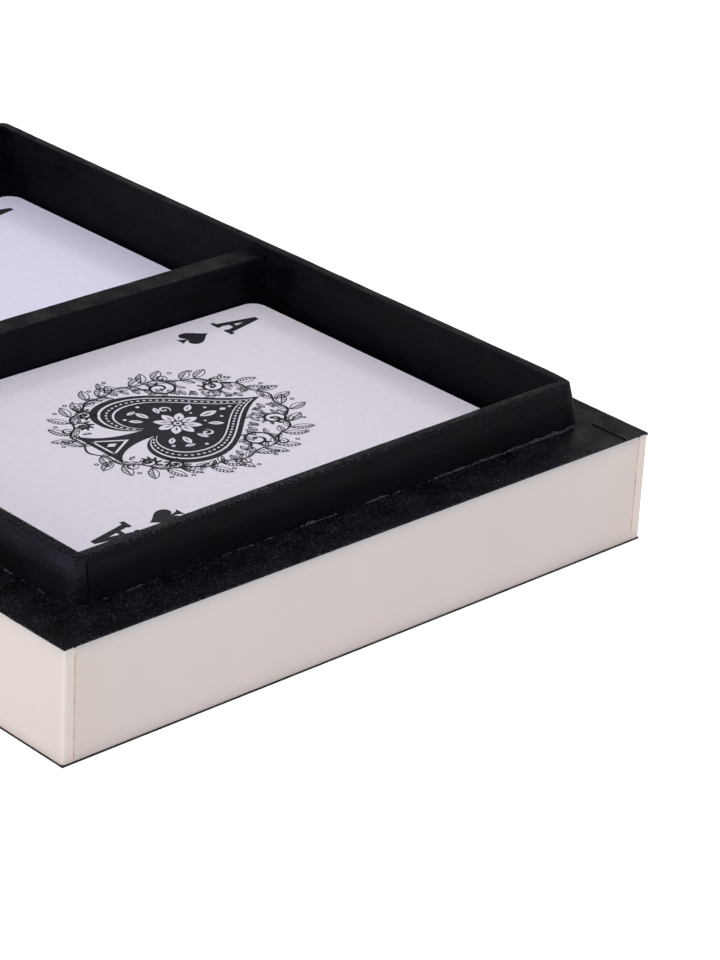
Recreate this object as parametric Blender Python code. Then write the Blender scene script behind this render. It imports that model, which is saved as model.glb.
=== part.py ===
"""Base of a lift-off-lid box for two decks of playing cards.

A black wooden frame stands on a thin board and is faced outside with bone-coloured strips.
A black liner stands inside the frame and rises above its ledge as the lip that locates a lid.
A divider makes two compartments, and each holds a deck with an ace lying on top.
The origin is the middle of the underside, +X runs along the box, +Y to its back and +Z up.
"""
import bmesh
import bpy
from mathutils import Matrix, Vector

# Cards, in metres as everything below
card_width = 0.0635
card_length = 0.0889
card_thickness = 0.00028
card_corner_radius = 0.0028
left_cards_under_ace = 42
right_cards_under_ace = 52
ace_air_gap = 0.0002

# Room around each deck in its compartment
left_divider_gap = 0.0048
left_end_room = 0.0048
left_back_gap = 0.0010
right_divider_gap = 0.0004
right_end_room = 0.0104
right_back_gap = 0.0025
deck_length_room = 0.0147

# Wood
wall_end_thickness = 0.0065
wall_front_thickness = 0.0064
wall_back_thickness = 0.0046
wall_lap = 0.0030
liner_thickness = 0.0031
divider_thickness = 0.0052
divider_drop = 0.0020
base_board_thickness = 0.0018

# Facing strips and felt
cladding_thickness = 0.0020
cladding_lift = 0.0003
felt_thickness = 0.0005
felt_corner_radius = 0.0010

# Heights above the table
ledge_height = 0.0200
lip_rise = 0.0082

# Shape of the lip and of the worked edges
lip_shoulder_drop = 0.0037
lip_lean = 0.0005
lip_taper = 0.0006
lip_round = 0.0003
lip_inner_round = 0.0003
liner_corner_radius = 0.0016
divider_round = 0.0004
cladding_corner_radius = 0.0006
cladding_round = 0.0002

# Clearances and modelling values
fit_gap = 0.0003
cut_overrun = 0.0010
same_place = 0.000001
card_corner_segments = 8
corner_segments = 6
edge_segments = 3
lip_segments = 4
smooth_angle = 0.6

# Levels, from the table up
frame_bottom = felt_thickness + fit_gap
floor_top = frame_bottom + base_board_thickness
inside_bottom = floor_top + fit_gap
lip_top = ledge_height + lip_rise
lip_shoulder = lip_top - lip_shoulder_drop
divider_top = lip_top - divider_drop

# Widths, from the outer faces in
end_ledge = cladding_thickness + fit_gap + wall_end_thickness + fit_gap
front_ledge = cladding_thickness + fit_gap + wall_front_thickness + fit_gap
back_ledge = cladding_thickness + fit_gap + wall_back_thickness + fit_gap
left_compartment = left_end_room + card_width + left_divider_gap
right_compartment = right_divider_gap + card_width + right_end_room
inner_length = left_compartment + divider_thickness + right_compartment
inner_width = card_length + deck_length_room
box_length = inner_length + 2 * (end_ledge + liner_thickness)
box_width = inner_width + front_ledge + back_ledge + 2 * liner_thickness

# Places of the outer faces, the liner's outer and inner faces, and the divider's faces
face_x = box_length / 2
face_y = box_width / 2
liner_x = face_x - end_ledge
liner_front_y = -face_y + front_ledge
liner_back_y = face_y - back_ledge
inside_x = liner_x - liner_thickness
inside_front_y = liner_front_y + liner_thickness
inside_back_y = liner_back_y - liner_thickness
divider_left_x = -inside_x + left_compartment
divider_right_x = divider_left_x + divider_thickness

# Places of the frame walls, whose outer faces lie against the strips
wall_x = face_x - cladding_thickness - fit_gap
wall_y = face_y - cladding_thickness - fit_gap
wall_inner_x = wall_x - wall_end_thickness


def clear_scene():
    for old in list(bpy.data.objects):
        bpy.data.objects.remove(old, do_unlink=True)


def add_collection(name):
    collection = bpy.data.collections.new(name)
    bpy.context.scene.collection.children.link(collection)
    return collection


def add_material(name, colour, roughness):
    material = bpy.data.materials.new(name)
    material.use_nodes = True
    shader = material.node_tree.nodes["Principled BSDF"]
    shader.inputs["Base Color"].default_value = (*colour, 1.0)
    shader.inputs["Roughness"].default_value = roughness
    shader.inputs["Metallic"].default_value = 0.0
    material.diffuse_color = (*colour, 1.0)
    return material


def block(low, high):
    """A box between two corners, as a bmesh."""
    low = Vector(low)
    high = Vector(high)
    shape = bmesh.new()
    place = Matrix.Translation((low + high) / 2) @ Matrix.Diagonal((*(high - low), 1.0))
    bmesh.ops.create_cube(shape, size=1.0, matrix=place)
    return shape


def same(a, b):
    return abs(a - b) < same_place


def on_plane(edge, axis, place):
    """Whether both ends of an edge lie at one place along an axis."""
    return all(same(getattr(vert.co, axis), place) for vert in edge.verts)


def at_level(edge, level):
    return on_plane(edge, "z", level)


def is_upright(edge):
    first, last = edge.verts
    return same(first.co.x, last.co.x) and same(first.co.y, last.co.y)


def round_edges(shape, is_rounded, radius, segments):
    """Rounds the edges that pass a test."""
    edges = [edge for edge in shape.edges if is_rounded(edge)]
    bmesh.ops.bevel(shape, geom=edges, offset=radius, segments=segments, profile=0.5, affect="EDGES")


def finish(shape, name, material, collection, origin, parent=None):
    """Turns a bmesh in world places into an object with its origin at the given point."""
    bmesh.ops.recalc_face_normals(shape, faces=shape.faces)
    mesh = bpy.data.meshes.new(name)
    bmesh.ops.translate(shape, verts=shape.verts, vec=-Vector(origin))
    shape.to_mesh(mesh)
    shape.free()
    mesh.shade_smooth()
    mesh.set_sharp_from_angle(angle=smooth_angle)
    if material:
        mesh.materials.append(material)
    piece = bpy.data.objects.new(name, mesh)
    collection.objects.link(piece)
    piece.location = origin
    if parent:
        piece.parent = parent
        piece.location = Vector(origin) - parent.location
    return piece


def foot_of(low, high):
    """The middle of the underside of a box between two corners."""
    return Vector(((low[0] + high[0]) / 2, (low[1] + high[1]) / 2, low[2]))


def cut_away(piece, name, low, high, cutters):
    """Takes a box out of a piece with a Boolean."""
    cutter = finish(block(low, high), name, None, cutters, foot_of(low, high))
    cutter.hide_render = True
    cutter.display_type = "WIRE"
    modifier = piece.modifiers.new(name, "BOOLEAN")
    modifier.operation = "DIFFERENCE"
    modifier.solver = "EXACT"
    modifier.object = cutter


def add_base_felt(material, parts):
    """The black felt that the box stands on, trimmed to lie inside the facing strips."""
    low = (-wall_x, -wall_y, 0)
    high = (wall_x, wall_y, felt_thickness)
    shape = block(low, high)
    round_edges(shape, is_upright, felt_corner_radius, corner_segments)
    finish(shape, "base_felt", material, parts, foot_of(low, high))


def add_base_board(material, parts):
    """The thin board inside the frame, under the liner and the decks."""
    low = (-liner_x, liner_front_y, frame_bottom)
    high = (liner_x, liner_back_y, floor_top)
    finish(block(low, high), "base_board", material, parts, foot_of(low, high))


def add_long_wall(side, outer_y, inner_y, material, parts, cutters):
    """A front or back frame wall, rabbeted at both ends so that it laps over the end walls."""
    low = (-wall_x, min(outer_y, inner_y), frame_bottom)
    high = (wall_x, max(outer_y, inner_y), ledge_height)
    wall = finish(block(low, high), "frame_wall_" + side, material, parts, foot_of(low, high))
    inward = 1 if inner_y > outer_y else -1
    lap_y = outer_y + inward * wall_lap
    past_y = inner_y + inward * cut_overrun
    for end, sign in (("left", -1), ("right", 1)):
        near_x = sign * (wall_inner_x - fit_gap)
        far_x = sign * (wall_x + cut_overrun)
        cut_low = (min(near_x, far_x), min(lap_y, past_y), frame_bottom - cut_overrun)
        cut_high = (max(near_x, far_x), max(lap_y, past_y), ledge_height + cut_overrun)
        cut_away(wall, "rabbet_" + side + "_" + end, cut_low, cut_high, cutters)


def add_end_wall(side, sign, material, parts):
    """A left or right frame wall, between the laps of the long walls."""
    near_x = sign * wall_inner_x
    far_x = sign * wall_x
    lap_y = wall_y - wall_lap - fit_gap
    low = (min(near_x, far_x), -lap_y, frame_bottom)
    high = (max(near_x, far_x), lap_y, ledge_height)
    finish(block(low, high), "frame_wall_" + side, material, parts, foot_of(low, high))


def add_long_cladding(side, sign, material, parts):
    """A facing strip along the front or back, as long as the box, with its corners eased."""
    outer_y = sign * face_y
    inner_y = sign * (face_y - cladding_thickness)
    low = (-face_x, min(outer_y, inner_y), cladding_lift)
    high = (face_x, max(outer_y, inner_y), ledge_height)
    shape = block(low, high)
    round_edges(
        shape,
        lambda edge: is_upright(edge) and on_plane(edge, "y", outer_y),
        cladding_corner_radius,
        corner_segments,
    )
    for level in (cladding_lift, ledge_height):
        round_edges(
            shape,
            lambda edge: at_level(edge, level) and not on_plane(edge, "y", inner_y),
            cladding_round,
            edge_segments,
        )
    finish(shape, "cladding_" + side, material, parts, foot_of(low, high))


def add_end_cladding(side, sign, material, parts):
    """A facing strip on an end, between the two long strips."""
    outer_x = sign * face_x
    inner_x = sign * (face_x - cladding_thickness)
    half_width = face_y - cladding_thickness - fit_gap
    low = (min(outer_x, inner_x), -half_width, cladding_lift)
    high = (max(outer_x, inner_x), half_width, ledge_height)
    shape = block(low, high)
    for level in (cladding_lift, ledge_height):
        round_edges(
            shape,
            lambda edge: at_level(edge, level) and on_plane(edge, "x", outer_x),
            cladding_round,
            edge_segments,
        )
    finish(shape, "cladding_" + side, material, parts, foot_of(low, high))


def lean_in(shape, pushes):
    """Leans a liner wall in above the ledge, a little to its shoulder and more to its top.

    Each push is a test for the points that it moves, and the way that it moves them.
    """
    for level in (ledge_height, lip_shoulder):
        everything = shape.verts[:] + shape.edges[:] + shape.faces[:]
        bmesh.ops.bisect_plane(
            shape, geom=everything, plane_co=(0, 0, level), plane_no=(0, 0, 1), dist=same_place
        )
    leans = {lip_shoulder: lip_lean, lip_top: lip_lean + lip_taper}
    for vert in shape.verts:
        for level, lean in leans.items():
            if same(vert.co.z, level):
                for is_moved, way in pushes:
                    if is_moved(vert.co):
                        vert.co += lean * way


def add_long_liner(side, outer_y, inner_y, material, parts):
    """A front or back liner wall, as long as the lip, with round corners at its two ends."""
    low = (-liner_x, min(outer_y, inner_y), inside_bottom)
    high = (liner_x, max(outer_y, inner_y), lip_top)
    inward = 1 if inner_y > outer_y else -1
    shape = block(low, high)
    round_edges(
        shape,
        lambda edge: is_upright(edge) and on_plane(edge, "y", outer_y),
        liner_corner_radius,
        corner_segments,
    )
    pushes = (
        (lambda point: not same(point.y, inner_y), Vector((0, inward, 0))),
        (lambda point: point.x > inside_x, Vector((-1, 0, 0))),
        (lambda point: point.x < -inside_x, Vector((1, 0, 0))),
    )
    lean_in(shape, pushes)
    round_edges(
        shape,
        lambda edge: at_level(edge, lip_top) and not on_plane(edge, "y", inner_y),
        lip_round,
        lip_segments,
    )
    round_edges(
        shape,
        lambda edge: at_level(edge, lip_top) and on_plane(edge, "y", inner_y),
        lip_inner_round,
        edge_segments,
    )
    finish(shape, "liner_" + side, material, parts, foot_of(low, high))


def add_end_liner(side, sign, material, parts):
    """A left or right liner wall, between the two long ones."""
    outer_x = sign * liner_x
    inner_x = sign * inside_x
    low = (min(outer_x, inner_x), inside_front_y + fit_gap, inside_bottom)
    high = (max(outer_x, inner_x), inside_back_y - fit_gap, lip_top)
    shape = block(low, high)
    lean_in(shape, ((lambda point: same(point.x, outer_x), Vector((-sign, 0, 0))),))
    top_outer_x = outer_x - sign * (lip_lean + lip_taper)
    for edge_x, radius, segments in (
        (top_outer_x, lip_round, lip_segments),
        (inner_x, lip_inner_round, edge_segments),
    ):
        round_edges(
            shape,
            lambda edge: at_level(edge, lip_top) and on_plane(edge, "x", edge_x),
            radius,
            segments,
        )
    finish(shape, "liner_" + side, material, parts, foot_of(low, high))


def add_divider(material, parts):
    """The slat between the compartments, a little lower than the lip."""
    low = (divider_left_x, inside_front_y + fit_gap, inside_bottom)
    high = (divider_right_x, inside_back_y - fit_gap, divider_top)
    shape = block(low, high)
    for edge_x in (divider_left_x, divider_right_x):
        round_edges(
            shape,
            lambda edge: at_level(edge, divider_top) and on_plane(edge, "x", edge_x),
            divider_round,
            edge_segments,
        )
    finish(shape, "divider", material, parts, foot_of(low, high))


def card_block(low_x, high_y, bottom, height):
    """A stack of cards with round corners, from its left side, its back edge and its level."""
    low = (low_x, high_y - card_length, bottom)
    high = (low_x + card_width, high_y, bottom + height)
    shape = block(low, high)
    round_edges(shape, is_upright, card_corner_radius, card_corner_segments)
    return shape, foot_of(low, high)


def add_deck(side, low_x, high_y, cards_under_ace, edge_material, face_material, parts):
    """A deck and the ace on top of it, which lifts with the deck and lifts off it."""
    deck_height = cards_under_ace * card_thickness
    shape, foot = card_block(low_x, high_y, inside_bottom, deck_height)
    deck = finish(shape, "deck_" + side, edge_material, parts, foot)
    ace_bottom = inside_bottom + deck_height + ace_air_gap
    shape, foot = card_block(low_x, high_y, ace_bottom, card_thickness)
    finish(shape, "ace_" + side, face_material, parts, foot, parent=deck)


def build_box():
    clear_scene()
    parts = add_collection("card_box")
    cutters = add_collection("cutters")
    felt = add_material("black_felt", (0.012, 0.012, 0.013), 0.95)
    raw_board = add_material("stained_board", (0.020, 0.018, 0.018), 0.80)
    frame = add_material("black_painted_frame", (0.022, 0.021, 0.022), 0.60)
    lining = add_material("black_painted_liner", (0.010, 0.010, 0.012), 0.55)
    strip = add_material("bone_coloured_resin", (0.680, 0.610, 0.560), 0.35)
    edges = add_material("card_edges", (0.560, 0.550, 0.560), 0.80)
    faces = add_material("card_face", (0.690, 0.660, 0.720), 0.45)

    add_base_felt(felt, parts)
    add_base_board(raw_board, parts)
    add_long_wall("front", -wall_y, liner_front_y - fit_gap, frame, parts, cutters)
    add_long_wall("back", wall_y, liner_back_y + fit_gap, frame, parts, cutters)
    add_long_liner("front", liner_front_y, inside_front_y, lining, parts)
    add_long_liner("back", liner_back_y, inside_back_y, lining, parts)
    for side, sign in (("left", -1), ("right", 1)):
        add_end_wall(side, sign, frame, parts)
        add_end_cladding(side, sign, strip, parts)
        add_end_liner(side, sign, lining, parts)
    for side, sign in (("front", -1), ("back", 1)):
        add_long_cladding(side, sign, strip, parts)
    add_divider(lining, parts)
    for side, deck_x, back_gap, cards_under_ace in (
        ("left", divider_left_x - left_divider_gap - card_width, left_back_gap, left_cards_under_ace),
        ("right", divider_right_x + right_divider_gap, right_back_gap, right_cards_under_ace),
    ):
        add_deck(side, deck_x, inside_back_y - back_gap, cards_under_ace, edges, faces, parts)


build_box()
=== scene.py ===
"""Looks of the lower half of a wooden card box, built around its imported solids.

The black walls get hand-worn edges and brushed paint, the ledge a film of paint with the joints
showing through, the facing strips a polished resin, and each deck its single cards and print.
Sizes are in metres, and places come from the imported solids.
"""
import math
import random

import bpy
from mathutils import Matrix, Vector, noise
from mathutils.geometry import interpolate_bezier


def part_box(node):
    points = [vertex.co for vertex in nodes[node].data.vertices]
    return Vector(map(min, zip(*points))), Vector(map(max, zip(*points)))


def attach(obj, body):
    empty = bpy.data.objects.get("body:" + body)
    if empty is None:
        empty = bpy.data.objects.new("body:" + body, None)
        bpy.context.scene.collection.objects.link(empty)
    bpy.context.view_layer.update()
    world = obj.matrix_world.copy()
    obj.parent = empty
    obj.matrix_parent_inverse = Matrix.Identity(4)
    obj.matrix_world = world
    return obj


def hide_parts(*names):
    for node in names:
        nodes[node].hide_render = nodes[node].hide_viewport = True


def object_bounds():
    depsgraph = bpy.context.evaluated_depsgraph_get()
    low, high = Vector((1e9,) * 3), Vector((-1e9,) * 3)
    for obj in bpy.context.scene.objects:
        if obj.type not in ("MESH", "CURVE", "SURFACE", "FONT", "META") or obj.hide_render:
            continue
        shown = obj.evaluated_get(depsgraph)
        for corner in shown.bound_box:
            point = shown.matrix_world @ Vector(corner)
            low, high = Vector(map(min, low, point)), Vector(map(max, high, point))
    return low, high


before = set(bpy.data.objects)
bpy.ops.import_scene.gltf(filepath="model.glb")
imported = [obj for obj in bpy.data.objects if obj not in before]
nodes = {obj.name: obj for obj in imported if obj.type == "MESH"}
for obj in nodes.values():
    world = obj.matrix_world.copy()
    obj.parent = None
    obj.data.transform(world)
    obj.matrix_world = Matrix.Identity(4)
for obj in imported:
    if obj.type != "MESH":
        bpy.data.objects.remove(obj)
cad_low, cad_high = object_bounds()

MM = 0.001
X, Y, Z = range(3)

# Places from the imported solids: the top of the ledge, and the outer corners of the liner
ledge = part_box("frame_wall_front")[1].z
liner_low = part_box("liner_front")[0]
liner_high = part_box("liner_back")[1]

# Kinds of shader node, each with the setting that says what it does
MATHS = ("ShaderNodeMath", "operation")
RAMP = ("ShaderNodeMapRange", "interpolation_type")

# Camera
camera_place = (0.447545, -0.352981, 0.271170)
camera_azimuth = 45.839
camera_elevation = 25.657
camera_roll = 3.086
camera_lens = 133.444

# Worn paint on the walls
slice_step = 0.8 * MM
wall_hollow_size = 5.0 * MM
wall_hollow_depth = 0.08 * MM
nick_size = 0.7 * MM
nick_depth = 0.04 * MM

# How far the end walls close up to the others, and how little between two heights at the front
joint_closing = 0.34 * MM
open_joint_closing = 0.13 * MM
open_joint_low, open_joint_high = ledge + 2.6 * MM, ledge + 7.0 * MM

# The lip's fall towards its left end and its front, with its limit, and the drop at one corner
lip_drop_along = 0.0038
lip_drop_across = 0.0041
lip_drop_limit = 0.45 * MM
lip_corner_drop = 0.45 * MM
lip_corner_reach = 6.0 * MM

# Where hands rub the paint: along the lip's top, down its corners and along the ledge's border
lip_rub_low, lip_rub_high = liner_high.z - 1.3 * MM, liner_high.z - 0.2 * MM
lip_corner_inset = 0.8 * MM
lip_corner_x = liner_high.x - lip_corner_inset
lip_corner_y = (liner_high.y - liner_low.y) / 2 - lip_corner_inset
lip_middle_y = (liner_high.y + liner_low.y) / 2
corner_rub_near, corner_rub_far = 0.6 * MM, 2.6 * MM
border_rub = 0.7 * MM

# Painted sheen on the lip's outer faces, paler towards their top as a painted reflection of the pale
# floor: the heights over which it comes in, and its depth
painted_sheen_low, painted_sheen_high = ledge + 3.5 * MM, ledge + 6.0 * MM
painted_sheen_depth = 1.0 * MM

# Facing strips: how far glue has soaked in from the corners, how far the painted reflection reaches down
# from their top edge, and how far the painted shade reaches up from their foot
soak_reach = 9.0 * MM
painted_reflection_reach, painted_shade_reach = 0.75 * MM, 0.9 * MM

# Paint film on the ledge
film_lift = 0.03 * MM
film_thickness = 0.14 * MM
film_skin = film_thickness * 0.4
film_nick_depth = film_thickness / 3
film_inset = 0.02 * MM
film_ragged = 0.10 * MM
film_edge_depth = 0.42 * MM
film_under_lip = 1.5 * MM
ragged_size = 2.0 * MM
lap_width = 2.95 * MM
lap_groove_width = 0.20 * MM
lap_groove_depth = 0.12 * MM
lap_line_width = 0.20 * MM
lap_line_wave = 1.5 * MM
lap_line_start, lap_line_end = 0.1, 0.03
film_corner_drop = 0.12 * MM
film_corner_reach = 50.0 * MM
film_front_rise = 0.20 * MM

# Bead of filler along the foot of the lip
bead_width = 0.38 * MM
bead_height = 0.32 * MM
bead_round = bead_width * 0.3
bead_round_segments = 3
bead_end_gap = 1.6 * MM
bead_swell = 0.36 * MM
bead_swell_from = 8.0 * MM
# Its gaps, lumps and crumbs: the size, depth, middle and direction of each
bead_wear = (
    (3.0 * MM, bead_height * 3.0, 0.62, "Z"),
    (1.1 * MM, bead_width * 1.1, 0.64, "NORMAL"),
    (0.4 * MM, bead_width * 0.9, 0.62, "NORMAL"),
)

# Glue between the facing strips
glue_inset = 0.05 * MM
glue_end_gap = 0.1 * MM
glue_wave = 1.5 * MM
glue_wave_depth = 0.06 * MM

# Paint under the facing strips
under_paint_foot = 0.005 * MM
under_paint_depth = 2.0 * MM
under_paint_inset = 0.02 * MM
under_paint_rise = 0.04 * MM
under_paint_ragged = 0.14 * MM
under_paint_wave = 4.0 * MM

# Cards, of which each fills most of its layer in the deck, with air above it
card_thickness = 0.28 * MM
card_share = 0.93
card_jitter = 0.12 * MM
card_turn = 0.10
card_corner = 2.8 * MM
card_corner_segments = 6
ink_lift = 0.006 * MM
ink_thickness = 0.008 * MM
ink_layers = 4
print_shift = (0.35 * MM, -0.6 * MM)

# Print on the aces, in mm: widths and heights, and how far the index lies from the card's edges
big_spade = (28.4, 35.7)
index_spade = (5.2, 6.6)
wreath_half_size = (16.9, 19.6)
left_picture_size = 0.78
index_inset, letter_inset, pip_inset = 5.7, 13.0, 19.2

# A spade's right side as curves, from its tip down, for a width and height of one
spade_body = (
    ((0, 0.5), (0.10, 0.27), (0.5, 0.12), (0.5, -0.12)),
    ((0.5, -0.12), (0.5, -0.25), (0.40, -0.33), (0.27, -0.33)),
    ((0.27, -0.33), (0.16, -0.33), (0.08, -0.27), (0.05, -0.2)),
)
spade_stem = (((0.05, -0.2), (0.06, -0.36), (0.12, -0.46), (0.24, -0.5)),)
spade_heart_centre = 0.02
spade_steps = 12

# A leaf's outline: how many steps up each side, and how full it is
leaf_steps = 8
leaf_fullness = 0.8

# The bends below which faces merge and edges look smooth, and a distance that counts as none
flat_angle = math.radians(1)
smooth_angle = math.radians(35)
merge_distance = 0.002 * MM


def linear(colour):
    """An sRGB hex colour as linear RGBA."""
    parts = [int(colour[n:n + 2], 16) / 255 for n in (1, 3, 5)]
    parts = [c / 12.92 if c <= 0.04045 else ((c + 0.055) / 1.055) ** 2.4 for c in parts]
    return (*parts, 1.0)


def set_inputs(tree, node, inputs):
    """Gives a shader node its inputs, as values or as other nodes' outputs."""
    for name, value in inputs.items():
        if isinstance(value, bpy.types.NodeSocket):
            tree.links.new(value, node.inputs[name])
        else:
            node.inputs[name].default_value = value


def add_node(tree, kind, inputs=None, **settings):
    """Adds a shader node with its settings and its inputs."""
    node = tree.nodes.new(kind)
    for name, value in settings.items():
        setattr(node, name, value)
    set_inputs(tree, node, inputs or {})
    return node


def add_nodes(tree, made, rows):
    """Adds a node for each row, whose inputs are values or the names of what is made by then."""
    for name, (kind, setting), choice, *values in rows:
        inputs = {n: made.get(value, value) for n, value in enumerate(values)}
        made[name] = add_node(tree, kind, inputs, **{setting: choice}).outputs[0]


def add_places(tree, place):
    """The place on the object as three named numbers."""
    spot = add_node(tree, "ShaderNodeSeparateXYZ", {"Vector": place})
    return {"x": spot.outputs["X"], "y": spot.outputs["Y"], "z": spot.outputs["Z"]}


def new_material(name, roughness=0.5, specular=0.5):
    """A material with its nodes and its shader."""
    material = bpy.data.materials.new(name)
    material.use_nodes = True
    tree = material.node_tree
    shader = tree.nodes["Principled BSDF"]
    set_inputs(tree, shader, {"Roughness": roughness, "Specular IOR Level": specular})
    return material, tree, shader


def black_paint(name, along, side, top, dust, painted_sheen_colour, rub):
    """Black water paint brushed on sanded wood.

    It shows as a dark, faintly blue matt skin with fine brush lines along the wall and a soft mottle
    of duller and shinier patches, its blue partly painting in the bluish shade. A painted sheen
    pales the upper part of the outer faces, more at the front. It also shows as grey rubbed grain where
    it faces up and where hands rub it, more at the front than at the back.
    """
    material, tree, shader = new_material(name)
    place = add_node(tree, "ShaderNodeTexCoord").outputs["Object"]
    # Brush lines and wood grain are about 0.1 mm wide, too fine to show, so they are drawn coarser
    brush_length, brush_width, grain_size, mottle_size = 9 * MM, 0.5 * MM, 0.25 * MM, 5 * MM
    noise_low, noise_middle, noise_high = 0.3, 0.5, 0.7
    brush_shade, mottle_shade = (0.55, 1.45), (0.6, 1.4)
    flat_from, flat_full = 0.25, 0.9
    weight_front, weight_back = 1.0, 0.5
    corner_rub, edge_rub = 0.4, 0.95
    ledge_dust, lip_dust = 0.48, 0.36
    bared_by_rub, bared_by_mottle = 0.13, 0.2
    speck_from, speck_full, speck_least = 0.62, 0.80, 0.08
    roughness_range = (0.46, 0.70)
    base_shine, higher_shine, flat_shine = 0.068, 0.022, -0.024
    scale = [1 / brush_width] * 3
    scale[along] = 1 / brush_length
    stretched = add_node(tree, "ShaderNodeMapping", {"Vector": place, "Scale": scale}).outputs[0]
    made = add_places(tree, place)
    for part, vector, size, detail in (
        ("brush", stretched, 1.0, 3.0),
        ("grain", place, grain_size, 1.0),
        ("mottle", place, mottle_size, 4.0),
    ):
        made[part] = add_node(
            tree, "ShaderNodeTexNoise", {"Vector": vector, "Scale": 1 / size, "Detail": detail}
        ).outputs["Fac"]
    normal = add_node(tree, "ShaderNodeNewGeometry").outputs["Normal"]
    made["upward"] = add_node(tree, "ShaderNodeSeparateXYZ", {"Vector": normal}).outputs["Z"]
    add_nodes(tree, made, (
        ("out_x", MATHS, "ABSOLUTE", "x"),
        ("out_y", MATHS, "ABSOLUTE", "y"),
        ("from_middle", MATHS, "SUBTRACT", "y", lip_middle_y),
        ("lip_y", MATHS, "ABSOLUTE", "from_middle"),
        ("off_x", MATHS, "SUBTRACT", "out_x", lip_corner_x),
        ("off_y", MATHS, "SUBTRACT", "lip_y", lip_corner_y),
        ("square_x", MATHS, "POWER", "off_x", 2.0),
        ("square_y", MATHS, "POWER", "off_y", 2.0),
        ("squares", MATHS, "ADD", "square_x", "square_y"),
        ("off_corner", MATHS, "SQRT", "squares"),
        ("corner", RAMP, "SMOOTHSTEP", "off_corner", corner_rub_near, corner_rub_far, corner_rub, 0.0),
        ("rim", RAMP, "SMOOTHSTEP", "z", lip_rub_low, lip_rub_high, 0.0, rub),
        ("worn", RAMP, "SMOOTHSTEP", "y", -lip_corner_y, lip_corner_y, weight_front, weight_back),
        ("worn_rim", MATHS, "MULTIPLY", "rim", "worn"),
        ("end_border", RAMP, "SMOOTHSTEP", "out_x", cad_high.x - border_rub, cad_high.x, 0.0, edge_rub),
        ("side_border", RAMP, "SMOOTHSTEP", "out_y", cad_high.y - border_rub, cad_high.y, 0.0, edge_rub),
        ("border", MATHS, "MAXIMUM", "end_border", "side_border"),
        ("facing", RAMP, "SMOOTHSTEP", "upward", flat_from, flat_full),
        ("upright", MATHS, "SUBTRACT", 1.0, "facing"),
        ("dust_share", RAMP, "SMOOTHSTEP", "z", ledge, painted_sheen_low, ledge_dust, lip_dust),
        ("dusty", MATHS, "MULTIPLY", "facing", "dust_share"),
        ("rubbed_lip", MATHS, "MAXIMUM", "corner", "worn_rim"),
        ("rubbed_flat", MATHS, "MAXIMUM", "dusty", "border"),
        ("rubbed", MATHS, "MAXIMUM", "rubbed_lip", "rubbed_flat"),
        # Painted sheen: the upper outer faces are paled towards the sheen colour, more at the front than
        # at the back
        ("outside_x", RAMP, "SMOOTHSTEP", "out_x", lip_corner_x - painted_sheen_depth, lip_corner_x),
        ("outside_y", RAMP, "SMOOTHSTEP", "lip_y", lip_corner_y - painted_sheen_depth, lip_corner_y),
        ("outside", MATHS, "MAXIMUM", "outside_x", "outside_y"),
        ("high", RAMP, "SMOOTHSTEP", "z", painted_sheen_low, painted_sheen_high),
        ("high_outside", MATHS, "MULTIPLY", "outside", "high"),
        ("high_upright", MATHS, "MULTIPLY", "high_outside", "upright"),
        ("hazed", MATHS, "MULTIPLY", "high_upright", "worn"),
        ("brushed", RAMP, "SMOOTHSTEP", "brush", noise_low, noise_high, *brush_shade),
        ("mottled", RAMP, "SMOOTHSTEP", "mottle", noise_low, noise_high, *mottle_shade),
        ("shade", MATHS, "MULTIPLY", "brushed", "mottled"),
        ("rubbed_through", MATHS, "MULTIPLY", "rubbed", bared_by_rub),
        ("bared_grain", MATHS, "ADD", "grain", "rubbed_through"),
        ("off_mottle", MATHS, "SUBTRACT", "mottle", noise_middle),
        ("mottle_share", MATHS, "MULTIPLY", "off_mottle", bared_by_mottle),
        ("bared", MATHS, "ADD", "bared_grain", "mottle_share"),
        ("speck", RAMP, "SMOOTHSTEP", "bared", speck_from, speck_full),
        ("speck_share", MATHS, "ADD", "rubbed", speck_least),
        ("specks", MATHS, "MULTIPLY", "speck", "speck_share"),
        ("roughness", RAMP, "SMOOTHSTEP", "mottle", noise_low, noise_high, *roughness_range),
        ("shine_rise", RAMP, "SMOOTHSTEP", "z", ledge, painted_sheen_high, 0.0, higher_shine),
        ("shine_upright", MATHS, "MULTIPLY", "upright", "shine_rise"),
        ("flat_high", MATHS, "MULTIPLY", "facing", "high"),
        ("dulled", MATHS, "MULTIPLY", "flat_high", flat_shine),
        ("shine_change", MATHS, "ADD", "shine_upright", "dulled"),
        ("shine", MATHS, "ADD", "shine_change", base_shine),
        ("relief", MATHS, "ADD", "brush", "grain"),
    ))
    # The side colour's blue partly paints in the bluish shade on the black; the top colour, a little
    # lighter, paints some light onto faces that look up
    colour = linear(side)
    # Mixes in the slightly lighter top colour on faces that look up, then the painted sheen on the upper
    # outer faces
    for share, over in (("facing", top), ("hazed", painted_sheen_colour)):
        colour = add_node(
            tree, "ShaderNodeMix", {0: made[share], 6: colour, 7: linear(over)}, data_type="RGBA"
        ).outputs[2]
    shaded = add_node(
        tree, "ShaderNodeVectorMath", {0: colour, "Scale": made["shade"]}, operation="SCALE"
    ).outputs[0]
    colour = add_node(
        tree, "ShaderNodeMix", {0: made["specks"], 6: shaded, 7: linear(dust)}, data_type="RGBA"
    ).outputs[2]
    bump = add_node(
        tree, "ShaderNodeBump", {"Height": made["relief"], "Strength": 0.6, "Distance": 0.08 * MM}
    ).outputs[0]
    set_inputs(tree, shader, {
        "Base Color": colour, "Normal": bump,
        "Roughness": made["roughness"], "Specular IOR Level": made["shine"],
    })
    return material


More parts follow.
